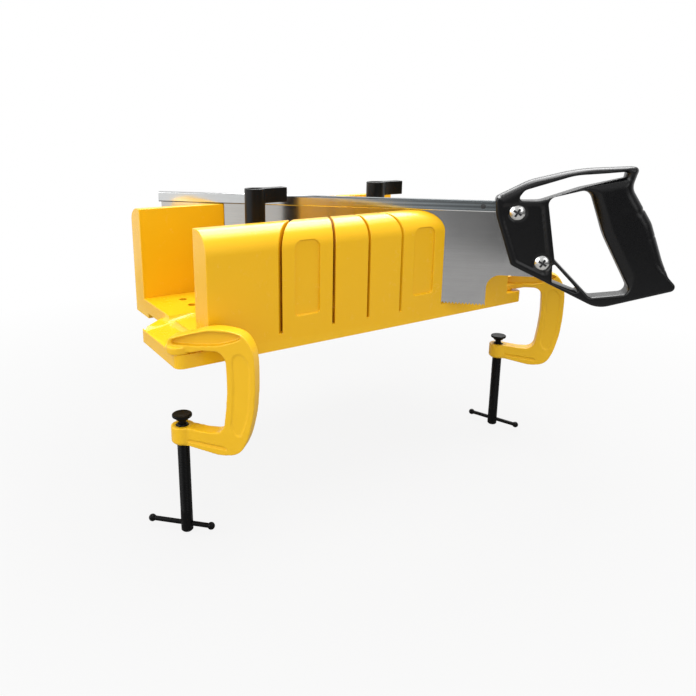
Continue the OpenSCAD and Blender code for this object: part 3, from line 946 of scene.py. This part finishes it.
@dataclass
class BackSaw(Piece):
    """The saw: blade, folded back, rivet, handle, screws and nuts."""

    body: str = "saw"
    cut_turn: float = math.radians(-45)
    blade_round: float = 0.12 * MM
    screw_round: float = 0.22 * MM
    edge_round: float = 2.2 * MM
    grip_round: float = 9.0 * MM
    top_round: float = 8.0 * MM
    top_round_end: float = 3.0 * MM
    lip_round: float = 1.3 * MM
    lip_height: float = 0.1 * MM
    cheek_sink: float = 1.2 * MM
    cheek_slope: float = 1.6 * MM
    seat_radius: float = 8.3 * MM
    seat_sink: float = 0.8 * MM
    seat_slope: float = 0.7 * MM
    cross_reach: float = 4.4 * MM
    cross_depth: float = 1.0 * MM
    handle_crease: float = math.radians(50)
    rim_steps: tuple[float, ...] = (0.08, 0.33, 0.72, 1.25, 1.9, 2.7, 3.7, 5.0)
    relief_spacing: float = 1.15 * MM

    def upright(self) -> Matrix:
        """Turns along-the-cut, across and up into the frame."""
        return Matrix.Rotation(self.cut_turn, 4, "Z")

    def flat(self) -> Matrix:
        """Turns the frame into along-the-cut, across and up."""
        return self.upright().inverted()

    def handle_loops(self) -> tuple[list[Loop], float]:
        """Reads the outlines on the near face of the handle from the frame.

        Returns:
            The closed outlines by falling area, and the half thickness.
        """
        bm = node_bmesh(self.node("saw_handle"), dissolve=False)
        bm.transform(self.flat())
        near = min(v.co.y for v in bm.verts)
        face = {f: None for f in bm.faces if all(abs(v.co.y - near) < 1e-5 for v in f.verts)}
        links: dict[BMVert, list[BMVert]] = {}
        for edge in dict.fromkeys(e for f in face for e in f.edges):
            if sum(f in face for f in edge.link_faces) == 1:
                for vert in edge.verts:
                    links.setdefault(vert, []).append(edge.other_vert(vert))
        loops = []
        while links:
            here = next(iter(links))
            chain = []
            while here:
                chain.append((here.co.x, here.co.z))
                here = next((vert for vert in links.pop(here) if vert in links), None)
            loops.append(np.array(chain))
        bm.free()
        loops.sort(key=lambda loop: -abs(loop_area(loop)))
        return loops, -near

    def screw_places(self) -> list[np.ndarray]:
        """Finds the two handle screws.

        Returns:
            Their places along the cut and up.
        """
        places = []
        for node in ("handle_screw_upper", "handle_screw_lower"):
            low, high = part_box(node)
            middle = self.flat() @ ((low + high) / 2)
            places.append(np.array((middle.x, middle.z)))
        return places

    def build_handle(self) -> None:
        """Builds the moulded handle with its rims, sunk cheeks and round grip."""
        loops, half = self.handle_loops()
        screws = self.screw_places()
        cheek = next(loop for loop in loops[1:] if in_loop(np.array(screws[:1]), loop)[0])
        openings = [loop for loop in loops[1:] if loop is not cheek]
        grip = max(openings, key=lambda loop: abs(loop_area(loop)))
        top = grip[grip[:, 1].argmax()]
        toe = grip[grip[:, 0].argmax()]
        ahead = (toe - top) / np.linalg.norm(toe - top)
        out = np.array((-ahead[1], ahead[0]))
        length = float(np.linalg.norm(toe - top))
        front, rear = loops[0][:, 0].min(), loops[0][:, 0].max()

        def fall(near: np.ndarray, size: np.ndarray) -> np.ndarray:
            """How far a rounded edge lies below the face, from the distance to the edge."""
            inward = np.clip(near / size, 0, 1)
            return size - size * np.sqrt(np.maximum(1 - (1 - inward) ** 2, 0))

        def thickness(points: np.ndarray) -> np.ndarray:
            """Half thickness of the handle at places on its face."""
            behind = (points - top) @ out
            down = (points - top) @ ahead
            held = smooth_step(-4 * MM, 6 * MM, behind)
            held *= smooth_step(-8 * MM, 10 * MM, down)
            held *= 1 - smooth_step(length - 12 * MM, length + 6 * MM, down)
            size = self.edge_round + (self.grip_round - self.edge_round) * held
            inside = np.where(in_loop(points, cheek), loop_distance(points, [cheek]), 0.0)
            level = half - self.cheek_sink * smooth_step(0.0, self.cheek_slope, inside)
            for spot in screws:
                ring = np.linalg.norm(points - spot, axis=1)
                slope = smooth_step(self.seat_radius - self.seat_slope, self.seat_radius, ring)
                level -= self.seat_sink * (1 - slope)
            outer, outward = nearest_edge(points, loops[0])
            inner = loop_distance(points, openings)
            above = smooth_step(0.45, 0.85, outward[:, 1])
            above *= smooth_step(top[1] - 14 * MM, top[1] - 6 * MM, points[:, 1] + outer)
            along = (points[:, 0] - front) / (rear - front)
            crown = self.top_round + (self.top_round_end - self.top_round) * along
            outer_size = np.maximum(size, self.edge_round + (crown - self.edge_round) * above)
            return level - np.maximum(fall(outer, outer_size), fall(inner, size))

        steps = [step * MM for step in self.rim_steps]
        plate = ReliefPlate(loops[0], openings, thickness, steps, self.relief_spacing)
        bm = plate.build()
        bm.transform(self.upright())
        handle = new_object("handle", bm, self.handle_crease)
        self.settle(handle, self.body, Shop.HANDLE_MOULDING, "saw_handle")

    def fold_round(self, edge: BMEdge) -> float:
        """Share of the lip's rounding at an edge of the folded back.

        Args:
            edge: A sharp edge of the back.

        Returns:
            All of it on the outer lower edges, none beside the blade and half of it elsewhere.
        """
        flat = self.flat()
        ends = [flat @ vert.co for vert in edge.verts]
        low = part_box("saw_back")[0].z
        if max(end.z for end in ends) > low + self.lip_height:
            return 0.5
        return 1.0 if min(abs(end.y) for end in ends) > self.lip_round else 0.0

    def build_blade(self) -> None:
        """Dresses the blade, its back and the rivet."""
        blade = softened("blade", node_bmesh(self.node("saw_blade")), self.blade_round, 1)
        self.settle(blade, self.body, Shop.BLADE, "saw_blade")
        back = softened("folded_back", node_bmesh(self.node("saw_back")), self.lip_round,
                        wanted=self.fold_round, slide=False)
        self.settle(back, self.body, Shop.BACK, "saw_back")
        # The rivet is drawn dark grey with the painted-shade finish of the recesses.
        self.keep("back_rivet", Shop.RECESS_SHADE)

    def build_fasteners(self) -> None:
        """Builds the cross-head screws and the sleeve nuts of the handle."""
        for level in ("upper", "lower"):
            shape = node_bmesh(self.node("handle_screw_" + level))
            screw = softened("screw_" + level, shape, self.screw_round, 2)
            self.settle(screw, self.body, Shop.BRIGHT_ZINC, "handle_screw_" + level)
            self.shade_cross(screw)
            self.keep("handle_nut_" + level, Shop.BRIGHT_ZINC)

    def shade_cross(self, screw: Object) -> None:
        """Paints shade into the cross recess in a screw's head with a darker finish.

        Args:
            screw: The screw, in its place.
        """
        screw.data.materials.append(Shop.RECESS_SHADE.value.material())
        flat = self.flat()
        spots = np.array([(flat @ v.co)[:] for v in screw.data.vertices])
        top = spots[:, 1].min()
        middle = (spots.min(0) + spots.max(0)) / 2
        for face in screw.data.polygons:
            centre = flat @ face.center
            out = -(flat.to_3x3() @ face.normal).y
            reach = math.hypot(centre.x - middle[0], centre.z - middle[2])
            sunk = centre.y - top
            in_head = reach < self.cross_reach and sunk < 3 * self.cross_depth
            if in_head and (sunk > self.cross_depth or out < 0.5):
                face.material_index = 1

    def build(self) -> None:
        """Builds the whole saw."""
        self.build_blade()
        self.build_handle()
        self.build_fasteners()


@dataclass
class BenchClamp(Piece):
    """A cast clamp with its screw, swivel pad and sliding T-bar."""

    side: str
    voxel: float = 0.6 * MM
    passes: int = 9
    pitch: float = 1.5 * MM
    thread_depth: float = 0.45 * MM
    thread_steps: int = 6
    plain_end: float = 17.0 * MM
    chamfer: float = 1.0 * MM
    neck_chamfer: float = 0.4 * MM
    bar_hole: float = 2.05 * MM
    bar_round: float = 0.3 * MM
    ball_share: float = 0.98
    turned_sides: int = 32

    def build_frame(self) -> None:
        """Builds the casting with soft edges."""
        node = "clamp_frame_" + self.side
        obj = new_object("casting_" + self.side, node_bmesh(self.node(node), dissolve=False))
        skin = obj.modifiers.new("skin", "REMESH")
        skin.mode = "VOXEL"
        skin.voxel_size = self.voxel
        skin.use_smooth_shade = True
        soft = obj.modifiers.new("soften", "SMOOTH")
        soft.factor = 0.5
        soft.iterations = self.passes
        self.settle(baked(obj), "clamp_" + self.side, Shop.YELLOW_CASTING, node)

    def bar_frame(self) -> Matrix:
        """Finds the T-bar.

        Returns:
            Its place, with its own Z along the bar.
        """
        points = self.points("tee_bar_" + self.side)
        middle = points.mean(0)
        spread = np.linalg.svd(points - middle, full_matrices=False)[2][0]
        along = Vector(spread).normalized()
        turn = along.to_track_quat("Z", "Y").to_matrix().to_4x4()
        return Matrix.Translation(Vector(middle)) @ turn

    def thread(self, radius: float, height: float, fade: float, angle: float) -> float:
        """Radius of the thread at a height and an angle, with a share of its full depth."""
        phase = (height / self.pitch - angle / (2 * math.pi)) % 1.0
        return radius - self.thread_depth * fade * max(0.0, 1.0 - abs(phase - 0.5) / 0.42)

    def build_screw(self) -> None:
        """Builds the threaded screw with its neck and the hole for the T-bar."""
        node = "clamp_screw_" + self.side
        low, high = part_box(node)
        radius = (high.x - low.x) / 2
        middle = Vector(((low.x + high.x) / 2, (low.y + high.y) / 2, 0))
        shape = self.points(node)
        reach = np.linalg.norm(shape[:, :2] - np.array(middle[:2]), axis=1)
        neck = float(reach[np.abs(shape[:, 2] - high.z) < 1e-5].max())
        shoulder = float(shape[reach > radius * 0.98, 2].max())
        start = low.z + self.plain_end
        profile: list[tuple[Radius, float]] = [(0.0, low.z), (radius - self.chamfer, low.z),
                                               (radius, low.z + self.chamfer), (radius, start)]
        step = self.pitch / self.thread_steps
        for k in range(1, int((shoulder - self.chamfer - start) / step) + 1):
            height = start + k * step
            run_in = (height - start) / (2 * self.pitch)
            run_out = max(0.0, (shoulder - height) / self.pitch)
            profile.append((partial(self.thread, radius, height, min(1.0, run_in, run_out)), height))
        profile += [(radius - self.chamfer, shoulder), (neck, shoulder), (neck, high.z - self.neck_chamfer),
                    (neck - self.neck_chamfer, high.z), (0.0, high.z)]
        obj = lathe("screw_" + self.side, profile, Matrix.Translation(middle), sides=self.turned_sides)
        half = 2 * radius
        bore = [(0, -half), (self.bar_hole, -half), (self.bar_hole, half), (0, half)]
        place = self.bar_frame()
        drill = lathe("drill", bore, place, sides=self.turned_sides)
        drill.location = middle + Vector((0, 0, place.translation.z)) - place.translation
        self.settle(cut_from(obj, drill), "screw_" + self.side, Shop.BLACK_STEEL, node)

    def build_bar(self) -> None:
        """Builds the T-bar and the balls on its ends."""
        place = self.bar_frame()
        local = place.inverted()
        bar = self.points("tee_bar_" + self.side, local)
        half = float(bar[:, 2].max())
        radius = float(np.linalg.norm(bar[:, :2], axis=1).max())
        rod = [(0, -half, 0), (radius, -half, self.bar_round), (radius, half, self.bar_round), (0, half, 0)]
        rod_piece = lathe("tee_rod_" + self.side, rounded_profile(rod), place, sides=self.turned_sides)
        self.settle(rod_piece, "tee_" + self.side, Shop.BLACK_STEEL, "tee_bar_" + self.side)
        ends = self.points("tee_ends_" + self.side, local)
        ball = float(np.linalg.norm(ends[:, :2], axis=1).max()) * self.ball_share
        tip = float(ends[:, 2].max())
        centre = tip - ball
        arc = [math.radians(a) for a in range(-52, 91, 8)]
        profile = [(0.0, centre), (radius * 1.02, centre - ball * 0.95)]
        profile += [(ball * math.cos(a), centre + ball * math.sin(a)) for a in arc]
        profile += [(0.0, tip)]
        flip = place @ Matrix.Rotation(math.pi, 4, "X")
        balls = lathe("tee_balls_" + self.side, profile, flip, place, sides=40)
        self.settle(balls, "tee_" + self.side, Shop.BLACK_STEEL, "tee_ends_" + self.side)

    def build_pad(self) -> None:
        """Builds the swivel pad with its rolled rim."""
        node = "swivel_pad_" + self.side
        low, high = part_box(node)
        radius = (high.x - low.x) / 2
        tall = high.z - low.z
        hub = radius * 0.62
        corners = [(0, 0.2 * tall, 0), (hub * 0.7, 0.2 * tall, 0), (hub * 0.7, 0, 0.2 * MM),
                   (hub, 0, 0.5 * MM), (hub * 1.04, 0.25 * tall, 0.8 * MM), (radius, 0.58 * tall, 0.5 * MM),
                   (radius, tall, 0.7 * MM), (radius * 0.7, tall, 1.0 * MM), (0, tall - 0.25 * MM, 0)]
        place = Matrix.Translation(((low.x + high.x) / 2, (low.y + high.y) / 2, low.z))
        pad = lathe("pad_" + self.side, rounded_profile(corners), place)
        self.settle(pad, "pad_" + self.side, Shop.BLACK_STEEL, node)

    def build(self) -> None:
        """Builds the whole clamp."""
        self.build_frame()
        self.build_screw()
        self.build_bar()
        self.build_pad()


@dataclass
class Softbox:
    """A large square lamp that faces a point; a sheen lamp shows in reflections only."""

    name: str
    place: tuple[float, float, float]
    size: float
    power: float
    sheen_only: bool = False
    target: tuple[float, float, float] = (0.0, 0.0, 0.04)

    def build(self) -> None:
        """Adds the lamp."""
        lamp = bpy.data.lights.new(self.name, "AREA")
        lamp.shape = "SQUARE"
        lamp.size = self.size
        lamp.energy = self.power
        obj = link(self.name, lamp)
        obj.visible_diffuse = not self.sheen_only
        obj.location = self.place
        facing = Vector(self.target) - Vector(self.place)
        obj.rotation_euler = facing.to_track_quat("-Z", "Y").to_euler()


@dataclass
class Studio:
    """Floor, soft light, world and camera."""

    eye: tuple[float, float, float] = (-0.34732, -0.54532, 0.18561)
    yaw: float = 0.5639
    pitch: float = 0.2465
    roll: float = 0.0044
    focal_px: float = 653.2951
    centre_px: Point = (312.2077, 286.8845)
    image_px: float = 696.0
    sensor: float = 36.0
    floor_size: float = 1.9
    soft_level: float = 0.88
    front_level: float = 0.12
    back_level: float = 0.95
    top_level: float = 0.65
    floor_gap: float = 0.5 * MM

    def build_camera(self) -> None:
        """Adds the camera at the photograph's place and framing."""
        data = bpy.data.cameras.new("camera")
        data.sensor_width = self.sensor
        data.lens = self.focal_px / self.image_px * self.sensor
        data.shift_x = (self.image_px / 2 - self.centre_px[0]) / self.image_px
        data.shift_y = (self.centre_px[1] - self.image_px / 2) / self.image_px
        data.clip_start = 0.01
        turn = (Matrix.Rotation(-self.yaw, 4, "Z") @ Matrix.Rotation(math.pi / 2 - self.pitch, 4, "X")
                @ Matrix.Rotation(self.roll, 4, "Z"))
        camera = link("camera", data)
        camera.matrix_world = Matrix.Translation(self.eye) @ turn
        bpy.context.scene.camera = camera

    def build_floor(self, level: float) -> None:
        """Adds the floor under the lowest point of the object.

        Args:
            level: Height of the lowest point.
        """
        bm = bmesh.new()
        bmesh.ops.create_grid(bm, x_segments=8, y_segments=8, size=self.floor_size / 2)
        bm.transform(Matrix.Translation((0, 0, level - self.floor_gap)))
        floor = new_object("floor", bm)
        Piece.dress(floor, Shop.FLOOR)
        floor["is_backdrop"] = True

    def build_world(self) -> None:
        """Adds soft light all round, with darker walls in reflections and white for the camera."""
        world = bpy.data.worlds.new("studio")
        bpy.context.scene.world = world
        tree = ShaderTree(world)
        way = tree.make("TexCoord", output="Generated")
        up = tree.part(way, "Z").clamped()
        back = tree.part(way, "Y") * 0.5 + 0.5
        horizon = tree.ramp(back.clamped(), [(0.12, self.front_level), (0.32, self.back_level)])
        level = horizon + (self.top_level - horizon) * up
        walls = tree.make("Background", {}, {"Color": level, "Strength": 1.0})
        even = (*(self.soft_level,) * 3, 1.0)
        soft = tree.make("Background", {}, {"Color": even, "Strength": 1.0})
        spread = tree.make("LightPath", output="Is Diffuse Ray")
        dome = tree.make("MixShader", {}, {0: spread, 1: walls, 2: soft})
        white = tree.make("Background", {}, {"Color": (1, 1, 1, 1), "Strength": 1.0})
        seen = tree.make("LightPath", output="Is Camera Ray")
        both = tree.make("MixShader", {}, {0: seen, 1: dome, 2: white})
        tree.make("OutputWorld", {}, {"Surface": both})

    def build_lamps(self) -> None:
        """Adds the key light from the left, lights from above, a weak fill and a panel for sheen alone."""
        for lamp in (Softbox("left softbox", (-2.9, 0.5, 1.35), 2.2, 42.0),
                     Softbox("overhead softbox", (-0.1, 0.1, 1.7), 0.8, 16.0),
                     Softbox("right softbox", (0.75, 0.05, 1.85), 1.2, 20.0),
                     Softbox("front fill", (-0.2, -2.3, 1.1), 1.6, 12.0),
                     Softbox("sheen panel", (0.85, 0.85, 1.6), 1.5, 56.0, True)):
            lamp.build()

    def build(self, level: float) -> None:
        """Builds the whole studio over a floor at the given level."""
        self.build_camera()
        self.build_floor(level)
        self.build_world()
        self.build_lamps()
        bpy.context.scene.view_settings.view_transform = "Standard"


def main() -> None:
    """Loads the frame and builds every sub-assembly."""
    logging.basicConfig(level=logging.INFO, format="%(name)s: %(message)s")
    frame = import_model()
    Piece.frame = frame
    cad_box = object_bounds()
    Studio().build(cad_box[0][2])
    for assembly in (MitreBox(), CamPeg("left"), CamPeg("right"), BackSaw(), BenchClamp("left"),
                     BenchClamp("right")):
        assembly.build()


if __name__ == "__main__":
    main()
